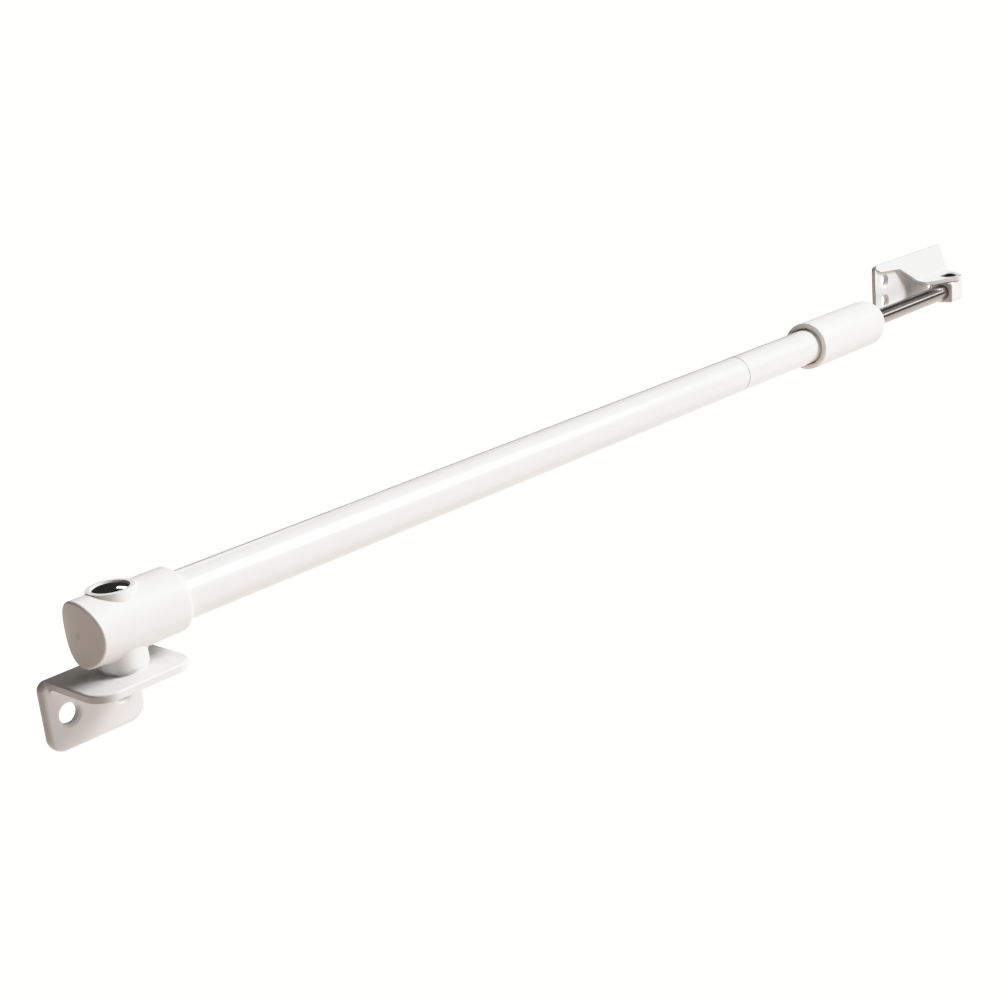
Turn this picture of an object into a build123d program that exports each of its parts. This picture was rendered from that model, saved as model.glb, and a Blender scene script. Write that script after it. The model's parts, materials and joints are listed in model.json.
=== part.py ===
"""Telescopic window stay with a twist-lock grip.

Frame: origin at the centre of the frame bracket's two screw holes, on the face that
lies against the window frame. +X runs along the rod towards the sash bracket, +Y points
into the window frame and +Z is up. Lengths are in millimetres.
"""
import os
from math import hypot

from build123d import *

os.makedirs("parts", exist_ok=True)

# Frame bracket: flange with its screw holes, and the shelf that carries the pivot
frame_plate = 2.5
frame_flange_left = 17.6
frame_flange_right = 16.8
frame_flange_drop = 11.3
frame_flange_corner = 5.5
frame_screw_spacing = 19.0
frame_hole_radius = 3.25
frame_hole_round = 1.2
shelf_rise = 12.4
shelf_inset = 2.9
shelf_overhang = 3.6
shelf_reach = 28.7
shelf_corner = 7.5
shelf_edge_round = 0.7
shelf_bend_round = 2.0
frame_edge_round = 1.5

# Frame pivot: its axis, pin, washers and clip
pivot_offset = 3.7
pivot_depth = 15.0
frame_pin_radius = 4.0
frame_pin_tip = 1.0
rivet_head_radius = 5.5
rivet_head_height = 1.2
thrust_washer_radius = 6.8
thrust_washer_thickness = 1.5
pin_washer_radius = 5.5
pin_washer_thickness = 0.6
clip_thickness = 0.8
clip_groove_depth = 0.5
clip_opening = 5.0
frame_clip_radius = 5.3

# Hinge head on the frame pivot
head_radius = 10.5
head_drop = 15.0
head_left = 13.3
head_right = 21.5
head_end_radius = 27.0
head_end_round = 0.8
head_mouth_round = 2.5
neck_radius = 7.6
neck_blend = 1.0
collar_radius = 7.4
collar_rise = 10.8
collar_rim_round = 0.2
recess_radius = 5.9
recess_floor = 6.0
gate_mark_radius = 1.0
gate_mark_depth = 0.1
cap_rim_drop = 0.5
cap_dome = 0.9
cap_wall = 0.8
cap_skirt = 1.6

# Outer tube and the clamp body that continues it
tube_radius = 8.0
tube_wall = 1.2
tube_start = 8.0
tube_end = 328.3
seam_chamfer = 0.25
spigot_length = 16.3
clamp_end = 424.0
clamp_wall = 2.0
clamp_nose = 20.0
guide_bush_length = 12.0

# Collet that grips the rod
collet_root = 6.0
collet_root_radius = 6.0
collet_length = 16.0
collet_step = 2.0
collet_large_radius = 7.4
collet_small_radius = 5.2
collet_slot = 1.0
collet_slots = 4

# Twist grip with its mouth ring and nut
sleeve_radius = 11.0
sleeve_start = 387.8
sleeve_end = 448.0
sleeve_rim_round = 0.5
sleeve_shoulder = 6.0
sleeve_seat_radius = 9.7
sleeve_rod_hole = 4.5
mouth_ring_radius = 8.72
mouth_ring_length = 3.0
nut_gap = 1.0
nut_length = 18.0
throat_step = 1.0
cone_gap = 0.32

# Sliding rod with its guide piston
rod_radius = 4.0
rod_start = 83.0
rod_tip = 3.7
piston_length = 14.0
piston_grip = 8.0
piston_floor = 3.0
screw_radius = 2.0
screw_head_radius = 3.5
screw_head_height = 2.6
screw_length = 12.0

# Rod-end block on the sash pivot
pivot_span = 533.8
block_left = 8.3
block_right = 7.7
block_width = 12.0
block_below = 5.5
block_above = 5.1
block_nose_corner = 5.0
block_edge_round = 1.5
block_face_round = 1.0
block_mouth_chamfer = 0.3
block_recess_radius = 4.8
block_recess_depth = 1.3

# Sash bracket: flange, sloping hood and lug
sash_plate = 2.0
sash_flange_length = 70.3
sash_flange_right = 12.5
sash_flange_top = 22.1
sash_flange_bottom = 6.5
sash_flange_corner = 3.0
sash_fold_round = 0.9
sash_hole_radius = 2.75
sash_sink_radius = 4.0
sash_hole_middle = 7.7
sash_hole_pitch = 10.8
sash_hole_spacing = 51.2
hood_foot = 6.3
hood_bend_round = 3.5
hood_lip = 1.2
hood_lip_length = 4.3
hood_strip = 3.5
hood_sweep_drop = 5.1
hood_sweep_start = 34.5
hood_sweep_end = 19.9
hood_sweep_round = 10.0
lug_radius = 7.0

# Sash pivot: pin, washer and clip
sash_pin_radius = 2.5
sash_pin_head_radius = 4.2
sash_pin_head_height = 1.0
sash_washer_radius = 6.0
sash_washer_thickness = 0.5
sash_clip_radius = 4.2
sash_clip_thickness = 0.7
sash_groove_depth = 0.4
sash_pin_tip = 0.4

# Countersinks of the sash bracket
sink_angle = 90.0

# Clearances
press_clearance = 0.02
running_clearance = 0.05
piston_clearance = 0.1
thread_clearance = 0.06
sleeve_pass_clearance = 0.3

# Places that follow from the sizes
pivot_x = pivot_offset
rod_y = -pivot_depth
rod_z = shelf_rise + head_drop
shelf_top = -head_drop
shelf_bottom = shelf_top - frame_plate
neck_bottom = shelf_top + thrust_washer_thickness
tube_bore = tube_radius - tube_wall
rod_bore = rod_radius + running_clearance
clamp_bore = tube_radius - clamp_wall
sash_face = sleeve_radius + sleeve_pass_clearance
lug_bottom = block_above + sash_washer_thickness
lug_top = lug_bottom + sash_plate

rod_line = Axis((pivot_x, rod_y, rod_z), (1, 0, 0))
frame_pivot_line = Axis((pivot_x, rod_y, rod_z), (0, 0, 1))
sash_pivot_line = Axis((pivot_x + pivot_span, rod_y, rod_z), (0, 0, 1))


def upright(along):
    """Vertical plane through the rod line: x along the rod from the given place, y up."""
    return Plane((pivot_x + along, rod_y, rod_z), x_dir=(1, 0, 0), z_dir=(0, -1, 0))


def across(along):
    """Plane square to the rod at a place along it: x into the window frame, y up."""
    return Plane((pivot_x + along, rod_y, rod_z), x_dir=(0, 1, 0), z_dir=(1, 0, 0))


def level(along, height):
    """Horizontal plane at a place along the rod and a height over its line."""
    return Plane((pivot_x + along, rod_y, rod_z + height))


def turned(profile, plane, line):
    """Solid of revolution of a closed outline drawn on a plane through its line."""
    with BuildPart() as body:
        with BuildSketch(plane):
            with BuildLine():
                Polyline(*profile, close=True)
            make_face()
        revolve(axis=line)
    return body


def ring(start, end, inner, outer):
    """Outline of a ring around the rod line, from start to end along it."""
    return [(start, inner), (end, inner), (end, outer), (start, outer)]


def retaining_clip(plane, inner, outer, thickness, opening):
    """Open ring that snaps into a pin's groove."""
    with BuildPart() as clip:
        with BuildSketch(plane):
            Circle(outer)
            Circle(inner, mode=Mode.SUBTRACT)
            with Locations((outer / 2, 0)):
                Rectangle(outer, opening, mode=Mode.SUBTRACT)
        extrude(amount=thickness)
    return clip


def flat_washer(plane, inner, outer, thickness):
    """Plain washer that lies on a horizontal plane."""
    with BuildPart() as washer:
        with BuildSketch(plane):
            Circle(outer)
            Circle(inner, mode=Mode.SUBTRACT)
        extrude(amount=thickness)
    return washer


def save(node, piece):
    """Label a finished piece and write it."""
    piece.part.label = node
    export_step(piece.part, f"parts/{node}.step")


# Frame bracket: a shelf and a hanging flange in one plate
shelf_start = shelf_inset - frame_flange_left
shelf_stop = shelf_overhang + frame_flange_right
shelf_middle = (shelf_start + shelf_stop) / 2
flange_middle = (frame_flange_right - frame_flange_left) / 2
with BuildPart() as frame_bracket:
    with BuildSketch(Plane.XZ):
        with Locations((flange_middle, (shelf_rise - frame_flange_drop) / 2)):
            Rectangle(frame_flange_left + frame_flange_right, shelf_rise + frame_flange_drop)
        fillet(vertices().group_by(Axis.Y)[0], frame_flange_corner)
        fillet(vertices().group_by(Axis.Y)[-1].sort_by(Axis.X)[0], shelf_inset)
    extrude(amount=frame_plate)
    fillet(faces().sort_by(Axis.Y)[0].edges(), frame_edge_round)
    with Locations(Plane((0, -frame_plate, 0), x_dir=(1, 0, 0), z_dir=(0, -1, 0))):
        with GridLocations(frame_screw_spacing, 0, 2, 1):
            Hole(frame_hole_radius)
    fillet([rim.edge() for rim in faces().sort_by(Axis.Y)[0].inner_wires()], frame_hole_round)
    with BuildPart(mode=Mode.PRIVATE) as shelf:
        with BuildSketch(Plane.XY.offset(shelf_rise - frame_plate)):
            with Locations((shelf_middle, -shelf_reach / 2)):
                Rectangle(shelf_stop - shelf_start, shelf_reach)
            fillet(vertices().group_by(Axis.Y)[0], shelf_corner)
        extrude(amount=frame_plate)
        top_edges = faces().sort_by(Axis.Z)[-1].edges().sort_by(Axis.Y)
        fillet(top_edges[:-1], shelf_edge_round)
    add(shelf)
    fillet(edges().sort_by_distance((0, -frame_plate, shelf_rise - frame_plate))[0], shelf_bend_round)
    with Locations(level(0, shelf_top)):
        Hole(frame_pin_radius + press_clearance)
save("frame_bracket", frame_bracket)

# Frame pin: riveted under the shelf, grooved near its tip
clip_low = recess_floor + pin_washer_thickness
clip_high = clip_low + clip_thickness
frame_groove_radius = frame_pin_radius - clip_groove_depth
frame_pin_top = clip_high + frame_pin_tip
frame_pin = turned(
    [
        (0, shelf_bottom - rivet_head_height),
        (rivet_head_radius - rivet_head_height / 2, shelf_bottom - rivet_head_height),
        (rivet_head_radius, shelf_bottom - rivet_head_height / 2),
        (rivet_head_radius, shelf_bottom),
        (frame_pin_radius, shelf_bottom),
        (frame_pin_radius, clip_low),
        (frame_groove_radius, clip_low),
        (frame_groove_radius, clip_high),
        (frame_pin_radius, clip_high),
        (frame_pin_radius, frame_pin_top - clip_groove_depth),
        (frame_groove_radius, frame_pin_top),
        (0, frame_pin_top),
    ],
    upright(0),
    frame_pivot_line,
)
save("frame_pin", frame_pin)

thrust_washer = flat_washer(
    level(0, shelf_top),
    frame_pin_radius + running_clearance,
    thrust_washer_radius,
    thrust_washer_thickness,
)
save("frame_thrust_washer", thrust_washer)

pin_washer = flat_washer(
    level(0, recess_floor),
    frame_pin_radius + running_clearance,
    pin_washer_radius,
    pin_washer_thickness,
)
save("frame_pin_washer", pin_washer)

frame_pin_clip = retaining_clip(
    level(0, clip_low),
    frame_groove_radius + press_clearance,
    frame_clip_radius,
    clip_thickness,
    clip_opening,
)
save("frame_pin_clip", frame_pin_clip)

# Hinge head: barrel with a neck below and a collar above
with BuildPart() as hinge_head:
    with BuildSketch(across(-head_left)):
        Circle(head_radius)
    extrude(amount=head_left + head_right)
    with BuildSketch(level(head_end_radius - head_left, -head_radius)):
        Circle(head_end_radius)
    extrude(amount=2 * head_radius, mode=Mode.INTERSECT)
    fillet(edges().group_by(Axis.X)[-1], head_mouth_round)
    fillet(faces().sort_by(Axis.X)[0].edges(), head_end_round)
    barrel_edges = edges()
    with BuildSketch(level(0, neck_bottom)):
        Circle(neck_radius)
    extrude(amount=-neck_bottom)
    neck_edges = [edge for edge in edges() if edge not in barrel_edges]
    neck_joint = ShapeList(neck_edges).sort_by(Axis.Z)[-2:]
    fillet(neck_joint, neck_blend)
    with BuildSketch(level(0, 0)):
        Circle(collar_radius)
    extrude(amount=collar_rise)
    fillet(faces().sort_by(Axis.Z)[-1].edges(), collar_rim_round)
    with BuildSketch(level(0, neck_bottom)):
        Circle(frame_pin_radius + running_clearance)
    extrude(amount=recess_floor - neck_bottom, mode=Mode.SUBTRACT)
    with BuildSketch(level(0, recess_floor)):
        Circle(recess_radius)
    extrude(amount=collar_rise - recess_floor, mode=Mode.SUBTRACT)
    with BuildSketch(across(tube_start)):
        Circle(tube_radius + press_clearance)
    extrude(amount=head_right - tube_start, mode=Mode.SUBTRACT)
    with BuildSketch(across(gate_mark_depth - head_left)):
        Circle(gate_mark_radius)
    extrude(amount=-gate_mark_radius, mode=Mode.SUBTRACT)
save("hinge_head", hinge_head)

# Domed cap that snaps into the collar over the pin
cap_radius = recess_radius - running_clearance
cap_rim = collar_rise - cap_rim_drop
cap_top = cap_rim + cap_dome
inner_radius = cap_radius - cap_wall
with BuildPart() as head_cap:
    with BuildSketch(upright(0)):
        with BuildLine():
            TangentArc((0, cap_top), (cap_radius, cap_rim), tangent=(1, 0))
            Polyline(
                (cap_radius, cap_rim),
                (cap_radius, cap_rim - cap_skirt),
                (inner_radius, cap_rim - cap_skirt),
                (inner_radius, cap_rim - cap_wall),
            )
            TangentArc((0, cap_top - cap_wall), (inner_radius, cap_rim - cap_wall), tangent=(1, 0))
            Line((0, cap_top - cap_wall), (0, cap_top))
        make_face()
    revolve(axis=frame_pivot_line)
save("head_cap", head_cap)

# Outer tube, seated in the head
outer_tube = turned(
    [
        (tube_start, tube_bore),
        (tube_end, tube_bore),
        (tube_end, tube_radius - seam_chamfer),
        (tube_end - seam_chamfer, tube_radius),
        (tube_start, tube_radius),
    ],
    upright(0),
    rod_line,
)
save("outer_tube", outer_tube)

# Clamp body: spigot in the tube, plain barrel, and a nose that holds the collet
clamp_start = tube_end - spigot_length
nose_start = clamp_end - clamp_nose
collet_seat = clamp_end - collet_root
clamp_body = turned(
    [
        (clamp_start, clamp_bore),
        (nose_start, clamp_bore),
        (nose_start, rod_bore),
        (collet_seat, rod_bore),
        (collet_seat, collet_root_radius + press_clearance),
        (clamp_end, collet_root_radius + press_clearance),
        (clamp_end, tube_radius),
        (tube_end + seam_chamfer, tube_radius),
        (tube_end, tube_radius - seam_chamfer),
        (tube_end, tube_bore - press_clearance),
        (clamp_start, tube_bore - press_clearance),
    ],
    upright(0),
    rod_line,
)
save("clamp_body", clamp_body)

guide_bush = turned(
    ring(clamp_start, clamp_start + guide_bush_length, rod_bore, clamp_bore - press_clearance),
    upright(0),
    rod_line,
)
save("guide_bush", guide_bush)

# Collet: root in the clamp body, slotted cone around the rod
cone_start = clamp_end + collet_step
cone_end = clamp_end + collet_length
with BuildPart() as collet:
    with BuildSketch(upright(0)):
        with BuildLine():
            Polyline(
                (collet_seat, rod_bore),
                (cone_end, rod_bore),
                (cone_end, collet_small_radius),
                (cone_start, collet_large_radius),
                (clamp_end, collet_large_radius),
                (clamp_end, collet_root_radius),
                (collet_seat, collet_root_radius),
                close=True,
            )
        make_face()
    revolve(axis=rod_line)
    with BuildSketch(across(cone_start)):
        with PolarLocations(0, collet_slots):
            with Locations((collet_large_radius / 2, 0)):
                Rectangle(collet_large_radius, collet_slot)
    extrude(amount=cone_end - cone_start, mode=Mode.SUBTRACT)
save("collet", collet)

# Twist grip: straight barrel, rounded shoulder, inner cone over the collet
nut_start = sleeve_start + mouth_ring_length + nut_gap
nut_stop = nut_start + nut_length
sleeve_bore = tube_radius + sleeve_pass_clearance
cone_slope = (collet_large_radius - collet_small_radius) / (cone_end - cone_start)
throat = cone_end + throat_step
throat_radius = collet_small_radius + cone_gap - cone_slope * (throat - cone_end)
with BuildPart() as grip_sleeve:
    with BuildSketch(upright(0)):
        with BuildLine():
            Polyline(
                (sleeve_start, sleeve_seat_radius),
                (nut_stop, sleeve_seat_radius),
                (nut_stop, sleeve_bore),
                (cone_start, sleeve_bore),
                (cone_start, collet_large_radius + cone_gap),
                (throat, throat_radius),
                (throat, sleeve_rod_hole),
                (sleeve_end, sleeve_rod_hole),
                (sleeve_end, sleeve_radius),
                (sleeve_start, sleeve_radius),
                close=True,
            )
        make_face()
    revolve(axis=rod_line)
    outer_edges = edges().filter_by(GeomType.CIRCLE).sort_by(SortBy.RADIUS)[-2:].sort_by(Axis.X)
    fillet(outer_edges[0], sleeve_rim_round)
    fillet(outer_edges[1], sleeve_shoulder)
save("grip_sleeve", grip_sleeve)

mouth_ring = turned(
    ring(
        sleeve_start,
        sleeve_start + mouth_ring_length,
        mouth_ring_radius,
        sleeve_seat_radius - press_clearance,
    ),
    upright(0),
    rod_line,
)
save("mouth_ring", mouth_ring)

sleeve_nut = turned(
    ring(
        nut_start,
        nut_stop,
        tube_radius + thread_clearance,
        sleeve_seat_radius - press_clearance,
    ),
    upright(0),
    rod_line,
)
save("sleeve_nut", sleeve_nut)

# Rod: tapped at its inner end, cross-drilled for the sash pin
rod_end = pivot_span + rod_tip
with BuildPart() as rod:
    with BuildSketch(across(rod_start)):
        Circle(rod_radius)
    extrude(amount=rod_end - rod_start)
    with BuildSketch(across(rod_start)):
        Circle(screw_radius + press_clearance)
    extrude(amount=screw_length, mode=Mode.SUBTRACT)
    with BuildSketch(level(pivot_span, -rod_radius)):
        Circle(sash_pin_radius + running_clearance)
    extrude(amount=2 * rod_radius, mode=Mode.SUBTRACT)
save("rod", rod)

# Guide piston, held on the rod's inner end by a screw
piston_stop = rod_start + piston_grip
piston_start = piston_stop - piston_length
screw_seat = rod_start - piston_floor
piston = turned(
    [
        (piston_start, screw_head_radius + sleeve_pass_clearance),
        (screw_seat, screw_head_radius + sleeve_pass_clearance),
        (screw_seat, screw_radius + press_clearance),
        (rod_start, screw_radius + press_clearance),
        (rod_start, rod_radius + press_clearance),
        (piston_stop, rod_radius + press_clearance),
        (piston_stop, tube_bore - piston_clearance),
        (piston_start, tube_bore - piston_clearance),
    ],
    upright(0),
    rod_line,
)
save("piston", piston)

piston_screw = turned(
    [
        (screw_seat - screw_head_height, 0),
        (rod_start + screw_length - screw_radius, 0),
        (rod_start + screw_length - screw_radius, screw_radius),
        (screw_seat, screw_radius),
        (screw_seat, screw_head_radius),
        (screw_seat - screw_head_height, screw_head_radius),
    ],
    upright(0),
    rod_line,
)
save("piston_screw", piston_screw)

# Rod-end block
with BuildPart() as end_block:
    with BuildSketch(level(pivot_span, -block_below)):
        with Locations(((block_right - block_left) / 2, 0)):
            Rectangle(block_right + block_left, block_width)
        fillet(vertices().group_by(Axis.X)[-1], block_nose_corner)
    extrude(amount=block_below + block_above)
    fillet(edges().filter_by(Axis.X), block_edge_round)
    fillet(faces().sort_by(Axis.X)[0].edges(), block_face_round)
    with BuildSketch(across(pivot_span - block_left)):
        Circle(rod_radius + press_clearance)
    extrude(amount=block_left + rod_tip, mode=Mode.SUBTRACT)
    mouth_face = faces().sort_by(Axis.X)[0]
    chamfer(mouth_face.edges().filter_by(GeomType.CIRCLE).sort_by(SortBy.LENGTH)[-1], block_mouth_chamfer)
    with BuildSketch(level(pivot_span, -block_below)):
        Circle(sash_pin_radius + running_clearance)
    extrude(amount=block_below + block_above, mode=Mode.SUBTRACT)
    with BuildSketch(level(pivot_span, -block_below)):
        Circle(block_recess_radius)
    extrude(amount=block_recess_depth, mode=Mode.SUBTRACT)
save("end_block", end_block)

# Sash bracket: flange, hood folded forward from its top, and lug over the block
sash_start = pivot_span + sash_flange_right - sash_flange_length
sash_middle = sash_start + sash_flange_length / 2
hood_run = sash_face - hood_foot
hood_rise = sash_flange_top - lug_top
hood_slant = hypot(hood_run, hood_rise)
inner_foot = hood_foot + sash_plate * hood_rise / hood_slant
inner_drop = lug_top - sash_plate * hood_run / hood_slant
hood_lean = hood_run / hood_rise
bend_end = hood_foot - hood_bend_round
crease = inner_drop + (sash_face - inner_foot) / hood_lean
front_reach = sash_face + lug_radius
flange_reach = sash_flange_length - sash_flange_right
with BuildPart() as sash_bracket:
    with BuildSketch(across(sash_start)):
        with BuildLine():
            Polyline(
                (sash_face, sash_flange_top),
                (hood_foot, lug_top),
                (bend_end, lug_top),
                (bend_end, lug_bottom),
                (inner_foot - hood_lean * (inner_drop - lug_bottom), lug_bottom),
                (sash_face, crease),
                (sash_face, -sash_flange_bottom),
                (sash_face + sash_plate, -sash_flange_bottom),
                (sash_face + sash_plate, sash_flange_top),
                close=True,
            )
        make_face()
        fillet(vertices().sort_by_distance((hood_foot, lug_top))[0], hood_bend_round)
    extrude(amount=sash_flange_length)
    fillet(edges().filter_by(Axis.X).group_by(Axis.Z)[-1], sash_fold_round)
    with BuildSketch(upright(sash_start).offset(-sash_face - sash_plate)):
        with BuildLine():
            Line((0, sash_flange_top - sash_flange_corner), (0, sash_flange_top))
            Line((0, sash_flange_top), (sash_flange_corner, sash_flange_top))
            RadiusArc(
                (sash_flange_corner, sash_flange_top),
                (0, sash_flange_top - sash_flange_corner),
                -sash_flange_corner,
            )
        make_face()
    extrude(amount=front_reach, mode=Mode.SUBTRACT)
    with BuildSketch(upright(pivot_span).offset(-sash_face)):
        with BuildLine():
            Polyline(
                (-flange_reach, sash_flange_top - hood_lip),
                (hood_lip_length - flange_reach, sash_flange_top - hood_strip),
                (-hood_sweep_start, sash_flange_top - hood_sweep_drop),
                (-hood_sweep_end, lug_top),
                (-hood_sweep_end, -sash_flange_bottom),
                (-flange_reach, -sash_flange_bottom),
                close=True,
            )
        make_face()
        sweep_corner = (-hood_sweep_start, sash_flange_top - hood_sweep_drop)
        fillet(vertices().sort_by_distance(sweep_corner)[0], hood_sweep_round)
    extrude(amount=front_reach, mode=Mode.SUBTRACT)
    with BuildSketch(level(pivot_span, lug_bottom)):
        with BuildLine():
            CenterArc((0, 0), lug_radius, 0, 360)
            Line((-hood_sweep_end, bend_end), (sash_flange_right, bend_end))
        make_hull()
    extrude(amount=sash_plate)
    with BuildSketch(level(pivot_span, lug_bottom)):
        Circle(sash_pin_radius + press_clearance)
    extrude(amount=sash_plate, mode=Mode.SUBTRACT)
    left_holes = [(-sash_hole_spacing / 2, sash_hole_middle + side * sash_hole_pitch / 2) for side in (1, -1)]
    right_hole = (sash_hole_spacing / 2, sash_hole_middle - sash_hole_pitch / 2)
    with Locations(upright(sash_middle).offset(-sash_face)):
        with Locations(*left_holes, right_hole):
            CounterSinkHole(sash_hole_radius, sash_sink_radius, depth=sash_plate, counter_sink_angle=sink_angle)
save("sash_bracket", sash_bracket)

# Sash pin: domed head on the lug, grooved end in the block's recess
sash_groove_radius = sash_pin_radius - sash_groove_depth
sash_clip_top = block_recess_depth - block_below
sash_clip_bottom = sash_clip_top - sash_clip_thickness
sash_pin_end = sash_clip_bottom - sash_pin_tip
with BuildPart() as sash_pin:
    with BuildSketch(upright(pivot_span)):
        with BuildLine():
            head_top = (0, lug_top + sash_pin_head_height)
            head_rim = (sash_pin_head_radius, lug_top)
            TangentArc(head_top, head_rim, tangent=(1, 0))
            Polyline(
                head_rim,
                (sash_pin_radius, lug_top),
                (sash_pin_radius, sash_clip_top),
                (sash_groove_radius, sash_clip_top),
                (sash_groove_radius, sash_clip_bottom),
                (sash_pin_radius, sash_clip_bottom),
                (sash_pin_radius, sash_pin_end),
                (0, sash_pin_end),
                head_top,
            )
        make_face()
    revolve(axis=sash_pivot_line)
save("sash_pin", sash_pin)

sash_washer = flat_washer(
    level(pivot_span, block_above),
    sash_pin_radius + running_clearance,
    sash_washer_radius,
    sash_washer_thickness,
)
save("sash_washer", sash_washer)

sash_pin_clip = retaining_clip(
    level(pivot_span, sash_clip_bottom),
    sash_groove_radius + press_clearance,
    sash_clip_radius,
    sash_clip_thickness,
    2 * sash_groove_radius,
)
save("sash_pin_clip", sash_pin_clip)
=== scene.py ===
"""Looks of the telescopic window stay: finishes of its pieces, and a white studio stage."""
import json
import math

import bpy
from bpy.props import FloatProperty, FloatVectorProperty, PointerProperty
from mathutils import Matrix, Vector

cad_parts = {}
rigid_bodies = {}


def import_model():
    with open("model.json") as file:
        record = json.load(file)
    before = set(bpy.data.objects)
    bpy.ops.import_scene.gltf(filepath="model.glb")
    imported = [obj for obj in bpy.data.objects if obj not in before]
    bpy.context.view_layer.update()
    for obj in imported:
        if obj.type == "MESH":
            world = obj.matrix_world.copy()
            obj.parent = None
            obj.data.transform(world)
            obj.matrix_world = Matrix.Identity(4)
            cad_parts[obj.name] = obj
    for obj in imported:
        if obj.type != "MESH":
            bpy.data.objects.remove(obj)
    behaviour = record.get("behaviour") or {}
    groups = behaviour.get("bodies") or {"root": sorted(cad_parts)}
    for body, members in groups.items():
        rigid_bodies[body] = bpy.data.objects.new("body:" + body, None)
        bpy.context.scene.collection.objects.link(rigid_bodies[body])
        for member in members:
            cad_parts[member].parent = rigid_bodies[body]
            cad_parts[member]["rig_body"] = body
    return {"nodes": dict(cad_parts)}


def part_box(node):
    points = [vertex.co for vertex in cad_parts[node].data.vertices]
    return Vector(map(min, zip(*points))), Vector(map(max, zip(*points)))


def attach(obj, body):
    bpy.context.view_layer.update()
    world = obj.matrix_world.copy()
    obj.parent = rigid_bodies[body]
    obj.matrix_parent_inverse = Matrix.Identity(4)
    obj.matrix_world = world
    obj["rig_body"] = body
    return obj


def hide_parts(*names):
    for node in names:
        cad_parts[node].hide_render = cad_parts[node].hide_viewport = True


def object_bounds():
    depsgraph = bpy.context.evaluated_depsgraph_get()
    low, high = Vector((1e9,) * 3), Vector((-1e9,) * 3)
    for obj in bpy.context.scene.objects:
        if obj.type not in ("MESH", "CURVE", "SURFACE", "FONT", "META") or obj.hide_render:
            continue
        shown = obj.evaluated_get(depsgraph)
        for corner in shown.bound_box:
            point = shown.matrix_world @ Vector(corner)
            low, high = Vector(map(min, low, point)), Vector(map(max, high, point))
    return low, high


bl_info = {
    "name": "Window stay looks",
    "version": (1, 0, 0),
    "blender": (4, 5, 0),
    "location": "3D View > Sidebar > Window stay",
    "description": "Dresses the CAD model of a telescopic window stay and sets its stage",
    "category": "Object",
}

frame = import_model()
cad_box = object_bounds()

# Places of a Mix node's factor, its two colours and its colour result among the sockets
mix_share = 0
mix_first = 6
mix_second = 7
mix_result = 2

# Noise lies around this value
noise_middle = 0.5

# How much of a second pattern goes into the bump or roughness of a finish
fine_in_peel = 0.15
flow_in_grain = 0.6
along_in_grinding = 0.3
haze_in_roughness = 0.04

# Softening of the brackets' edges
merge_distance = 0.000001
flat_angle = math.radians(1.0)
smooth_angle = math.radians(40.0)
edge_angle = math.radians(35.0)
edge_segments = 3

# Camera: which way it looks, which way is right in its picture, and what it can show
camera_ahead = Vector((0.6983, 0.6564, -0.2853))
camera_right = Vector((0.6595, -0.7451, -0.0998))
sensor_width = 36.0
nearest_shown = 0.01
farthest_shown = 50.0

# Softboxes: where each stands around the stay, how wide it is, and its power by colour
softboxes = {
    "key": ((0.56, -0.46, 0.69), 1.8, (145.0, 145.0, 145.0)),
    "side": ((0.63, -0.59, 0.50), 1.0, (84.0, 84.0, 84.0)),
    "top": ((0.0, 0.0, 1.0), 2.0, (20.0, 18.0, 16.0)),
    "rod_light": ((0.87, -0.43, 0.24), 0.6, (4.0, 4.0, 4.0)),
    "cap_light": ((0.52, 0.66, 0.54), 0.5, (3.5, 3.5, 3.5)),
}
stage_middle = Vector((0.27, -0.015, 0.027))
softbox_distance = 4.0

# Narrow lamp on the grip's mouth, which stands in for the brighter table beside it
mouth_lamp_direction = (-0.84, -0.53, 0.05)
mouth_lamp_distance = 0.35
mouth_lamp_angle = math.radians(9.0)
mouth_lamp_radius = 0.03
mouth_lamp_power = 2.0

# Studio: how far below level a direction has to point to see nothing but the table
table_slope = -0.2

# Tone curve: the brightest light that is told apart, and what some lesser ones show as
brightest = 1.6
shown_tones = {0.35: 0.35, 0.70: 0.70, 0.84: 0.81, 1.0: 0.885, 1.3: 0.945}

# White floor: a wide bowl, cut flat just below the stay
floor_radius = 6.0
floor_segments = 64
floor_rings = 32
floor_gap = 0.0005


# Shader maths

class Value:
    """A shader socket that adds Math nodes when it is used in an expression."""

    def __init__(self, shader, socket):
        self.shader = shader
        self.socket = socket

    def math(self, operation, *terms):
        """Add a Math node on numbers and sockets."""
        return self.shader.node("ShaderNodeMath", {"operation": operation}, dict(enumerate(terms)))

    def __add__(self, other):
        return self.math("ADD", self, other)

    def __radd__(self, other):
        return self.math("ADD", other, self)

    def __sub__(self, other):
        return self.math("SUBTRACT", self, other)

    def __rsub__(self, other):
        return self.math("SUBTRACT", other, self)

    def __mul__(self, other):
        return self.math("MULTIPLY", self, other)

    def __rmul__(self, other):
        return self.math("MULTIPLY", other, self)

    def __abs__(self):
        return self.math("ABSOLUTE", self)


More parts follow.
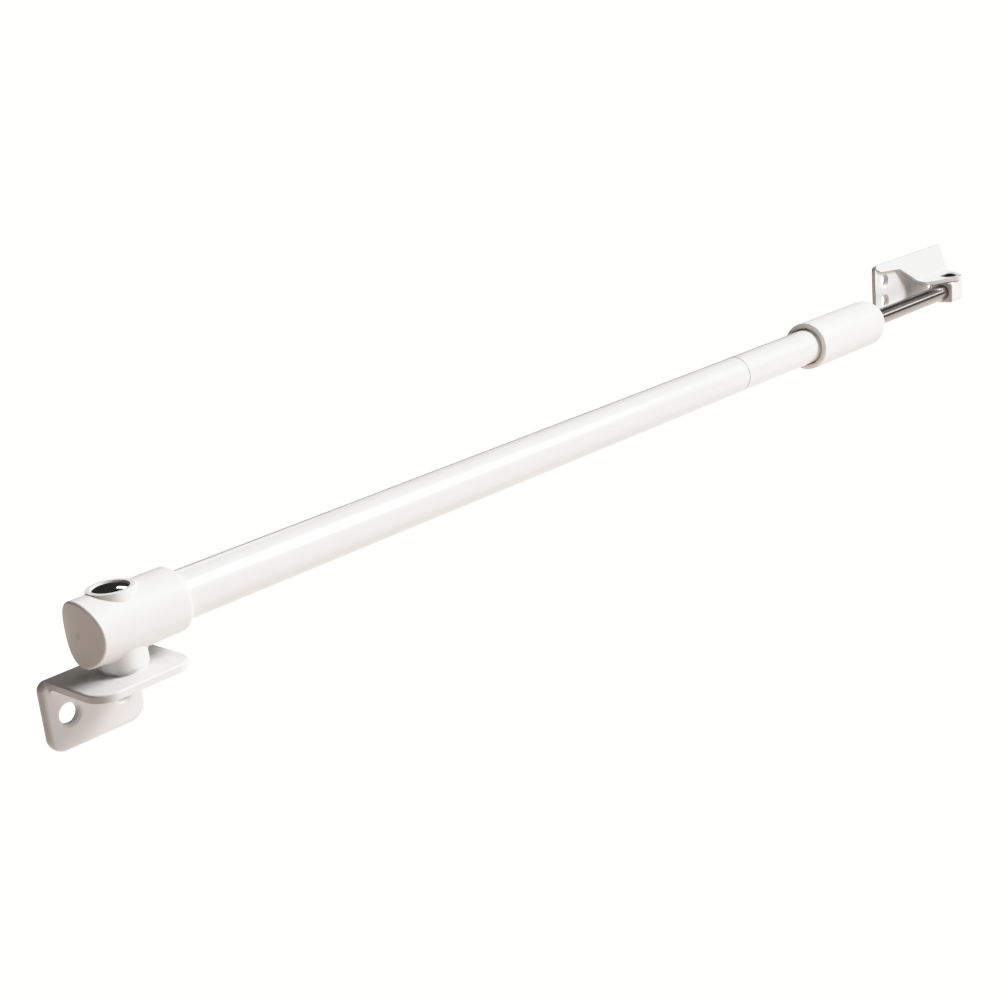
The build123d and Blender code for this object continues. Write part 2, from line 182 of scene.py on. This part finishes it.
class Shader:
    """A node tree being written, and the one method that adds to it."""

    def __init__(self, tree):
        self.tree = tree

    def add(self, kind, settings, inputs):
        """Add a node: first its settings, then the values or links of its sockets."""
        node = self.tree.nodes.new(kind)
        for key, value in settings.items():
            setattr(node, key, value)
        self.fill(node, inputs)
        return node

    def node(self, kind, settings, inputs, output=0):
        """Add a node and give one of its outputs."""
        return Value(self, self.add(kind, settings, inputs).outputs[output])

    def fill(self, node, inputs):
        """Set a node's sockets, by name or place, to numbers, colours or other sockets."""
        for key, value in inputs.items():
            if isinstance(value, Value):
                self.tree.links.new(value.socket, node.inputs[key])
            else:
                node.inputs[key].default_value = value

    def tint(self, share, first, second):
        """Colour between two others, each an RGB triple or a socket."""
        ends = [end if isinstance(end, Value) else (*end, 1.0) for end in (first, second)]
        inputs = {mix_share: share, mix_first: ends[0], mix_second: ends[1]}
        return self.node("ShaderNodeMix", {"data_type": "RGBA"}, inputs, mix_result)

    def axis(self, where, letter):
        """One coordinate of a place or direction."""
        return self.node("ShaderNodeSeparateXYZ", {}, {"Vector": where}, letter)

    def fade(self, value, none_at, full_at):
        """Share that goes smoothly from nothing at one value to one at another."""
        inputs = {"Value": value, "From Min": none_at, "From Max": full_at}
        return self.node("ShaderNodeMapRange", {"interpolation_type": "SMOOTHSTEP"}, inputs)


class Finish(Shader):
    """A material being written, with the patterns that the finishes share."""

    def __init__(self, name):
        self.material = bpy.data.materials.new(name)
        self.material.use_nodes = True
        super().__init__(self.material.node_tree)
        self.tree.nodes.clear()
        self.surface = self.add("ShaderNodeBsdfPrincipled", {}, {})
        shown = Value(self, self.surface.outputs["BSDF"])
        self.add("ShaderNodeOutputMaterial", {}, {"Surface": shown})

    def coordinates(self):
        """Object coordinates."""
        return self.node("ShaderNodeTexCoord", {}, {}, "Object")

    def place(self, stretch=(1.0, 1.0, 1.0)):
        """Object coordinates, stretched along the axes."""
        inputs = {"Vector": self.coordinates(), "Scale": stretch}
        return self.node("ShaderNodeMapping", {"vector_type": "POINT"}, inputs)

    def noise(self, where, scale, detail=2.0, rough=0.5):
        """Fractal noise."""
        inputs = {"Vector": where, "Scale": scale, "Detail": detail, "Roughness": rough}
        return self.node("ShaderNodeTexNoise", {"noise_dimensions": "3D"}, inputs, "Fac")

    def line_across(self, station, reach):
        """One on a plane across the tube's axis, falling to nothing at a reach from it."""
        apart = abs(self.axis(self.coordinates(), "X") - station)
        return self.fade(apart, none_at=reach, full_at=0.0)

    def dot_at(self, point, reach):
        """One within half a reach of a point, falling to nothing at the whole reach."""
        inputs = {0: self.coordinates(), 1: point}
        apart = self.node("ShaderNodeVectorMath", {"operation": "DISTANCE"}, inputs, "Value")
        return self.fade(apart, none_at=reach, full_at=reach / 2)

    def bump(self, relief, rise):
        """Normal that follows a relief with a rise in metres."""
        return self.node("ShaderNodeBump", {}, {"Height": relief, "Distance": rise, "Strength": 1.0})

    def done(self, inputs):
        """Set the surface's sockets and give the material."""
        self.fill(self.surface, inputs)
        return self.material


def spread(noise, width):
    """Noise around nothing, over a width."""
    return (noise - noise_middle) * width


# Finishes

def painted_white(name, look, light, shade, seam=None):
    """Gloss powder coat with orange peel and faint cloudiness, and painted shade along a seam across it.
    """
    finish = Finish(name)
    where = finish.place()
    cloud = finish.noise(where, scale=60.0, detail=3.0)
    peel = finish.noise(where, scale=900.0, rough=0.4)
    fine = finish.noise(where, scale=4200.0, detail=1.0)
    tone = finish.tint(cloud, shade, light)
    # Painted shade: the base colour darkens in a band around the seam, standing in for the shade of its
    # groove.
    if seam is not None:
        tone = finish.tint(finish.line_across(seam, look.seam_reach), tone, look.seam_painted_shade)
    return finish.done({
        "Base Color": tone,
        "Roughness": look.paint_roughness + spread(cloud, width=0.10) + spread(fine, width=0.05),
        "Normal": finish.bump(peel + fine * fine_in_peel, look.peel_height),
        "Coat Weight": look.coat,
        "Coat Roughness": look.coat_roughness,
    })


def moulded_white(name, look, mark=None):
    """Moulded plastic with a fine spark-eroded grain, and a darker spot at a moulding mark: partly duller
    plastic, partly painted shade of the mark's recess.
    """
    finish = Finish(name)
    where = finish.place()
    cloud = finish.noise(where, scale=45.0)
    grain = finish.noise(where, scale=3600.0, rough=0.6)
    flow = finish.noise(finish.place(stretch=(0.25, 1.0, 1.0)), scale=260.0, detail=3.0)
    tone = finish.tint(cloud, look.plastic_shade, look.plastic)
    if mark is not None:
        # Darker spot at the mark: partly the duller plastic of a moulding mark, partly painted shade of
        # its shallow recess.
        tone = finish.tint(finish.dot_at(mark, look.mark_reach), tone, look.mark_dull_and_painted_shade)
    return finish.done({
        "Base Color": tone,
        "Roughness": look.plastic_roughness + spread(grain, width=0.12) + spread(flow, width=0.06),
        "Normal": finish.bump(grain + flow * flow_in_grain, look.grain_height),
    })


def moulded_cream(name, look):
    """Cream bearing plastic, satin, with a fine grain."""
    finish = Finish(name)
    where = finish.place()
    cloud = finish.noise(where, scale=90.0)
    grain = finish.noise(where, scale=3000.0)
    return finish.done({
        "Base Color": finish.tint(cloud, look.cream_shade, look.cream),
        "Roughness": look.cream_roughness + spread(grain, width=0.12),
        "Normal": finish.bump(grain, look.grain_height),
    })


def polished_chrome(name, look):
    """Mirror chrome with faint polishing haze."""
    finish = Finish(name)
    haze = finish.noise(finish.place(), scale=300.0, detail=3.0)
    return finish.done({
        "Base Color": finish.tint(haze, look.chrome_shade, look.chrome),
        "Metallic": 1.0,
        "Roughness": look.chrome_roughness + haze * haze_in_roughness,
        "Normal": finish.bump(haze, look.haze_height),
    })


def ground_steel(name, look):
    """Ground and polished bar: fine lines around the rod and a few along it."""
    finish = Finish(name)
    around = finish.noise(finish.place(stretch=(1.0, 0.02, 0.02)), scale=5200.0, rough=0.6)
    along = finish.noise(finish.place(stretch=(0.02, 1.0, 1.0)), scale=2600.0)
    cloud = finish.noise(finish.place(stretch=(0.3, 1.0, 1.0)), scale=120.0, detail=3.0)
    return finish.done({
        "Base Color": finish.tint(cloud, look.rod_shade, look.rod),
        "Metallic": 1.0,
        "Roughness": look.rod_roughness + spread(along, width=0.04) + spread(cloud, width=0.02),
        "Normal": finish.bump(around + along * along_in_grinding, look.grind_height),
    })


def plated_steel(name, look, light, dark, roughness):
    """Plated or blackened hardware with a soft mottle."""
    finish = Finish(name)
    mottle = finish.noise(finish.place(), scale=500.0, detail=4.0, rough=0.6)
    return finish.done({
        "Base Color": finish.tint(mottle, dark, light),
        "Metallic": 1.0,
        "Roughness": roughness + spread(mottle, width=0.14),
        "Normal": finish.bump(mottle, look.grind_height),
    })


# Settings that a user would change

def colour(name, description, default):
    """Property for a colour."""
    return FloatVectorProperty(name=name, description=description, default=default, size=3,
                               min=0.0, max=1.0, subtype="COLOR")


def height(name, description, default):
    """Property for a small size in metres."""
    return FloatProperty(name=name, description=description, default=default, min=0.0, max=0.001,
                         subtype="DISTANCE", unit="LENGTH", precision=6)


def part_of_one(name, description, default):
    """Property for a roughness or a weight, from nothing to one."""
    return FloatProperty(name=name, description=description, default=default, min=0.0, max=1.0,
                         subtype="FACTOR")


class STAY_PG_finishes(bpy.types.PropertyGroup):
    """Colours and textures of the stay's finishes."""

    tube: colour("Tube", "White gloss coat of the tube", (0.90, 0.90, 0.89))
    tube_shade: colour("Tube shade", "Darker tone in the tube's coat", (0.88, 0.875, 0.865))
    # The seam colour is painted shade: it darkens the coat around the groove between the tube and its end,
    # over the seam reach.
    seam_painted_shade: colour("Seam", "Dirt in the seam between the tube and its end", (0.36, 0.35, 0.33))
    seam_reach: height("Seam reach", "How far the seam's dirt goes to either side", 0.0006)
    bracket: colour("Bracket", "White gloss coat of the brackets", (0.85, 0.85, 0.84))
    bracket_shade: colour("Bracket shade", "Darker tone in the brackets' coat", (0.83, 0.825, 0.815))
    paint_roughness: part_of_one("Paint roughness", "Base roughness of the gloss coat", 0.30)
    coat: part_of_one("Clear coat", "Weight of the gloss over the paint", 0.35)
    coat_roughness: part_of_one("Clear coat roughness", "Roughness of the gloss over the paint", 0.08)
    peel_height: height("Orange peel", "Height of the coat's orange peel", 0.000012)
    plate_round: height("Plate edge", "Round on the frame bracket's edges", 0.0006)
    sheet_round: height("Sheet edge", "Round on the sash bracket's edges", 0.0009)
    plastic: colour("Plastic", "White moulded plastic of the head, grip and block", (0.93, 0.925, 0.915))
    plastic_shade: colour("Plastic shade", "Darker tone in the moulded plastic", (0.91, 0.90, 0.885))
    plastic_roughness: part_of_one("Plastic roughness", "Base roughness of the moulded plastic", 0.42)
    # The mark colour is partly duller plastic and partly painted shade of the mark's recess.
    mark_dull_and_painted_shade: colour("Moulding mark", "Duller plastic in the mark on the head's end", (0.76, 0.74, 0.72))
    mark_reach: height("Mark reach", "How far the duller plastic goes from the mark's middle", 0.0010)
    grain_height: height("Mould grain", "Height of the moulded grain", 0.000010)
    cream: colour("Cream", "Cream bearing plastic", (0.84, 0.80, 0.72))
    cream_shade: colour("Cream shade", "Darker tone in the cream plastic", (0.79, 0.75, 0.66))
    cream_roughness: part_of_one("Cream roughness", "Base roughness of the cream plastic", 0.46)
    chrome: colour("Chrome", "Cap on the hinge head", (0.80, 0.80, 0.80))
    chrome_shade: colour("Chrome shade", "Hazed tone of the cap", (0.70, 0.70, 0.70))
    chrome_roughness: part_of_one("Chrome roughness", "Least roughness of the cap", 0.05)
    haze_height: height("Polishing haze", "Height of the haze on the cap", 0.000002)
    rod: colour("Rod", "Polished rod", (0.36, 0.33, 0.305))
    rod_shade: colour("Rod shade", "Darker tone of the rod", (0.31, 0.28, 0.255))
    rod_roughness: part_of_one("Rod roughness", "Base roughness of the rod", 0.21)
    grind_height: height("Grinding", "Height of the grinding lines and of the plating's mottle", 0.0000001)
    brass: colour("Brass", "Nut in the grip", (0.80, 0.62, 0.30))
    brass_shade: colour("Brass shade", "Darker tone of the nut", (0.66, 0.48, 0.20))
    brass_roughness: part_of_one("Brass roughness", "Base roughness of the nut", 0.30)
    zinc: colour("Zinc", "Plated frame pin, clips, washer and screw", (0.62, 0.62, 0.60))
    zinc_shade: colour("Zinc shade", "Darker tone of the zinc plate", (0.50, 0.50, 0.49))
    zinc_roughness: part_of_one("Zinc roughness", "Base roughness of the zinc plate", 0.34)
    dark_pin: colour("Dark pin", "Pivot pin in the sash bracket", (0.16, 0.16, 0.155))
    dark_pin_shade: colour("Dark pin shade", "Darker tone of the sash pin", (0.10, 0.10, 0.095))
    dark_pin_roughness: part_of_one("Dark pin roughness", "Base roughness of the sash pin", 0.22)


class STAY_PG_stage(bpy.types.PropertyGroup):
    """Camera and light."""

    lens: FloatProperty(name="Lens", description="Focal length in millimetres", default=56.09,
                        min=10.0, max=300.0, unit="CAMERA")
    eye: FloatVectorProperty(name="Eye", description="Where the camera stands", size=3, precision=5,
                             default=(-0.23216, -0.39599, 0.18112), subtype="TRANSLATION", unit="LENGTH")
    roll: FloatProperty(name="Roll", description="Camera's turn about its line of sight",
                        default=math.radians(0.1), subtype="ANGLE", unit="ROTATION")
    walls: colour("Walls", "Dark room behind and above", (0.02, 0.02, 0.02))
    table_left: colour("Table at the head", "Light from the table on the head's side", (0.40, 0.305, 0.25))
    table_right: colour("Table at the rod", "Light from the table on the rod's side", (1.0, 0.97, 0.945))
    table_power: FloatProperty(name="Table power", default=1.4, min=0.0, max=10.0,
                               description="Strength of the light from the table and walls")
    backdrop: colour("Backdrop", "Plain white floor and wall", (1.0, 1.0, 0.95))


# Pieces

def dress(material, *names):
    """Give CAD nodes a material."""
    for name in names:
        node = frame["nodes"][name]
        node.data.materials.clear()
        node.data.materials.append(material)


def soften(name, radius, material):
    """Stand a copy of a CAD node in its place, with its sharp edges rounded."""
    node = frame["nodes"][name]
    piece = bpy.data.objects.new(name + "_softened", node.data.copy())
    bpy.context.scene.collection.objects.link(piece)
    bpy.ops.object.select_all(action="DESELECT")
    piece.select_set(True)
    bpy.context.view_layer.objects.active = piece
    bpy.ops.object.mode_set(mode="EDIT")
    bpy.ops.mesh.select_all(action="SELECT")
    bpy.ops.mesh.customdata_custom_splitnormals_clear()
    bpy.ops.mesh.remove_doubles(threshold=merge_distance)
    bpy.ops.mesh.dissolve_limited(angle_limit=flat_angle)
    bpy.ops.object.mode_set(mode="OBJECT")
    bpy.ops.object.shade_smooth_by_angle(angle=smooth_angle)
    edge = piece.modifiers.new("edge_round", "BEVEL")
    edge.width = radius
    edge.segments = edge_segments
    edge.limit_method = "ANGLE"
    edge.angle_limit = edge_angle
    bpy.ops.object.modifier_apply(modifier=edge.name)
    level = piece.modifiers.new("flat_faces", "WEIGHTED_NORMAL")
    level.keep_sharp = True
    bpy.ops.object.modifier_apply(modifier=level.name)
    piece.data.materials.clear()
    piece.data.materials.append(material)
    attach(piece, node["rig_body"])
    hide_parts(name)


class STAY_OT_brackets(bpy.types.Operator):
    """Round the edges of the two brackets and paint them"""

    bl_idname = "stay.brackets"
    bl_label = "Brackets"

    def execute(self, context):
        look = context.scene.stay_finishes
        paint = painted_white("bracket_paint", look, look.bracket, look.bracket_shade)
        soften("frame_bracket", look.plate_round, paint)
        soften("sash_bracket", look.sheet_round, paint)
        return {"FINISHED"}


class STAY_OT_tube(bpy.types.Operator):
    """Paint the tube and the clamp body that continues it"""

    bl_idname = "stay.tube"
    bl_label = "Tube"

    def execute(self, context):
        look = context.scene.stay_finishes
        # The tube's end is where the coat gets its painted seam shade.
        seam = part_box("outer_tube")[1].x
        paint = painted_white("tube_paint", look, look.tube, look.tube_shade, seam)
        dress(paint, "outer_tube", "clamp_body")
        return {"FINISHED"}


class STAY_OT_hinge_head(bpy.types.Operator):
    """Finish the hinge head, its cap and its thrust washer"""

    bl_idname = "stay.hinge_head"
    bl_label = "Hinge head"

    def execute(self, context):
        look = context.scene.stay_finishes
        lowest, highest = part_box("outer_tube")
        axis = (lowest + highest) / 2
        # Where the head's end gets its darker spot, partly duller plastic and partly painted shade.
        mark = (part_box("hinge_head")[0].x, axis.y, axis.z)
        dress(moulded_white("head_plastic", look, mark), "hinge_head", "frame_thrust_washer")
        dress(polished_chrome("cap_chrome", look), "head_cap")
        return {"FINISHED"}


class STAY_OT_grip(bpy.types.Operator):
    """Finish the twist grip with its ring and nut"""

    bl_idname = "stay.grip"
    bl_label = "Twist grip"

    def execute(self, context):
        look = context.scene.stay_finishes
        dress(moulded_white("grip_plastic", look), "grip_sleeve")
        dress(moulded_cream("ring_plastic", look), "mouth_ring")
        brass = plated_steel("nut_brass", look, look.brass, look.brass_shade, look.brass_roughness)
        dress(brass, "sleeve_nut")
        return {"FINISHED"}


class STAY_OT_rod(bpy.types.Operator):
    """Finish the rod, its end block and its guides"""

    bl_idname = "stay.rod"
    bl_label = "Rod"

    def execute(self, context):
        look = context.scene.stay_finishes
        dress(ground_steel("rod_steel", look), "rod")
        dress(moulded_white("block_plastic", look), "end_block")
        dress(moulded_cream("guide_plastic", look), "guide_bush", "collet", "piston", "sash_washer")
        return {"FINISHED"}


class STAY_OT_pins(bpy.types.Operator):
    """Finish the pins, clips, washer and screw"""

    bl_idname = "stay.pins"
    bl_label = "Pins and clips"

    def execute(self, context):
        look = context.scene.stay_finishes
        zinc = plated_steel("zinc_plate", look, look.zinc, look.zinc_shade, look.zinc_roughness)
        dress(zinc, "frame_pin", "frame_pin_washer", "frame_pin_clip", "piston_screw", "sash_pin_clip")
        dark = plated_steel("dark_pin", look, look.dark_pin, look.dark_pin_shade, look.dark_pin_roughness)
        dress(dark, "sash_pin")
        return {"FINISHED"}


# Stage

def photo_camera(stage):
    """Camera that stands and looks as the photograph's did."""
    camera = bpy.data.cameras.new("photo_camera")
    camera.lens = stage.lens
    camera.sensor_width = sensor_width
    camera.clip_start = nearest_shown
    camera.clip_end = farthest_shown
    ahead = camera_ahead.normalized()
    up = camera_right.normalized().cross(ahead).normalized()
    right = ahead.cross(up).normalized()
    axes = Matrix((right, up, -ahead)).transposed().to_4x4()
    roll = Matrix.Rotation(stage.roll, 4, "Z")
    holder = bpy.data.objects.new("photo_camera", camera)
    holder.matrix_world = Matrix.Translation(stage.eye) @ axes @ roll
    bpy.context.scene.collection.objects.link(holder)
    bpy.context.scene.camera = holder


def hang(light, target, direction, distance):
    """Hang a light in a direction from a target, turned towards it."""
    holder = bpy.data.objects.new(light.name, light)
    away = Vector(direction).normalized()
    holder.location = target + away * distance
    holder.rotation_euler = away.to_track_quat("Z", "Y").to_euler()
    holder.visible_camera = False
    bpy.context.scene.collection.objects.link(holder)


def softbox(name, direction, width, power):
    """Square area light that looks at the middle of the stay."""
    light = bpy.data.lights.new(name, "AREA")
    light.shape = "SQUARE"
    light.size = width
    light.energy = max(power)
    light.color = [part / max(power) for part in power]
    hang(light, stage_middle, direction, softbox_distance)


def mouth_lamp():
    """Narrow lamp from the hinge head's side on the grip's mouth ring."""
    light = bpy.data.lights.new("mouth_lamp", "SPOT")
    light.energy = mouth_lamp_power
    light.spot_size = mouth_lamp_angle
    light.spot_blend = 1.0
    light.shadow_soft_size = mouth_lamp_radius
    target = Vector((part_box("mouth_ring")[0].x, stage_middle.y, stage_middle.z))
    hang(light, target, mouth_lamp_direction, mouth_lamp_distance)


def studio(stage):
    """World: dark walls over a bright table, which is darker and warmer on the hinge head's side."""
    world = bpy.data.worlds.new("studio")
    world.use_nodes = True
    sky = Shader(world.node_tree)
    direction = sky.node("ShaderNodeTexCoord", {}, {}, "Generated")
    # The X part of a direction goes from minus one to one, and the share from nothing to one
    to_the_rod = sky.axis(direction, "X") * 0.5 + 0.5
    table = sky.tint(to_the_rod, stage.table_left, stage.table_right)
    below = sky.fade(sky.axis(direction, "Z"), none_at=0.0, full_at=table_slope)
    light = {"Color": sky.tint(below, stage.walls, table), "Strength": stage.table_power}
    sky.fill(world.node_tree.nodes["Background"], light)
    return world


def white_floor(stage):
    """Bowl with a flat floor that glows plain white and throws no light on the stay."""
    bpy.ops.object.select_all(action="DESELECT")
    bpy.ops.mesh.primitive_uv_sphere_add(segments=floor_segments, ring_count=floor_rings,
                                         radius=floor_radius)
    bowl = bpy.context.active_object
    bowl.name = "white_floor"
    bpy.ops.object.mode_set(mode="EDIT")
    bpy.ops.mesh.select_all(action="SELECT")
    floor_level = cad_box[0].z - floor_gap
    bpy.ops.mesh.bisect(plane_co=(0.0, 0.0, floor_level), plane_no=(0.0, 0.0, 1.0), use_fill=True,
                        clear_inner=True)
    bpy.ops.object.mode_set(mode="OBJECT")
    paper = bpy.data.materials.new("white_paper")
    paper.use_nodes = True
    paper.node_tree.nodes.clear()
    sheet = Shader(paper.node_tree)
    glow = sheet.node("ShaderNodeEmission", {}, {"Color": (*stage.backdrop, 1.0), "Strength": brightest})
    sheet.add("ShaderNodeOutputMaterial", {}, {"Surface": glow})
    bowl.data.materials.append(paper)
    bowl.visible_diffuse = False
    bowl.visible_glossy = False
    bowl.visible_transmission = False
    bowl.visible_shadow = False


def soft_highlights(view):
    """Tone curve that rolls off the brightest tones, so that white pieces keep their shading."""
    view.view_transform = "Standard"
    view.use_curve_mapping = True
    tones = view.curve_mapping
    tones.white_level = (brightest, brightest, brightest)
    all_channels = tones.curves[3]
    for light, shown in shown_tones.items():
        all_channels.points.new(light / brightest, shown)
    tones.update()


class STAY_OT_stage(bpy.types.Operator):
    """Set the camera, the lights and the white floor"""

    bl_idname = "stay.stage"
    bl_label = "Stage"

    def execute(self, context):
        stage = context.scene.stay_stage
        photo_camera(stage)
        context.scene.world = studio(stage)
        for name, (direction, width, power) in softboxes.items():
            softbox(name, direction, width, power)
        mouth_lamp()
        white_floor(stage)
        soft_highlights(context.scene.view_settings)
        return {"FINISHED"}


# Sidebar and registration

class STAY_PT_panel(bpy.types.Panel):
    """Sidebar list of the stay's pieces, finishes and stage"""

    bl_idname = "STAY_PT_panel"
    bl_label = "Window stay"
    bl_space_type = "VIEW_3D"
    bl_region_type = "UI"
    bl_category = "Window stay"

    def draw(self, context):
        for operator in operators:
            self.layout.operator(operator.bl_idname)
        for settings in (context.scene.stay_finishes, context.scene.stay_stage):
            box = self.layout.box()
            for name in settings.__annotations__:
                box.prop(settings, name)


operators = (
    STAY_OT_brackets,
    STAY_OT_tube,
    STAY_OT_hinge_head,
    STAY_OT_grip,
    STAY_OT_rod,
    STAY_OT_pins,
    STAY_OT_stage,
)
classes = (STAY_PG_finishes, STAY_PG_stage, *operators, STAY_PT_panel)


def register():
    """Register the classes and give the scene their settings."""
    for item in classes:
        bpy.utils.register_class(item)
    bpy.types.Scene.stay_finishes = PointerProperty(type=STAY_PG_finishes)
    bpy.types.Scene.stay_stage = PointerProperty(type=STAY_PG_stage)


def unregister():
    """Take the settings off the scene and the classes out of Blender."""
    del bpy.types.Scene.stay_stage
    del bpy.types.Scene.stay_finishes
    for item in reversed(classes):
        bpy.utils.unregister_class(item)


def main():
    """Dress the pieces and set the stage."""
    register()
    bpy.ops.stay.brackets()
    bpy.ops.stay.tube()
    bpy.ops.stay.hinge_head()
    bpy.ops.stay.grip()
    bpy.ops.stay.rod()
    bpy.ops.stay.pins()
    bpy.ops.stay.stage()


if __name__ == "__main__":
    main()
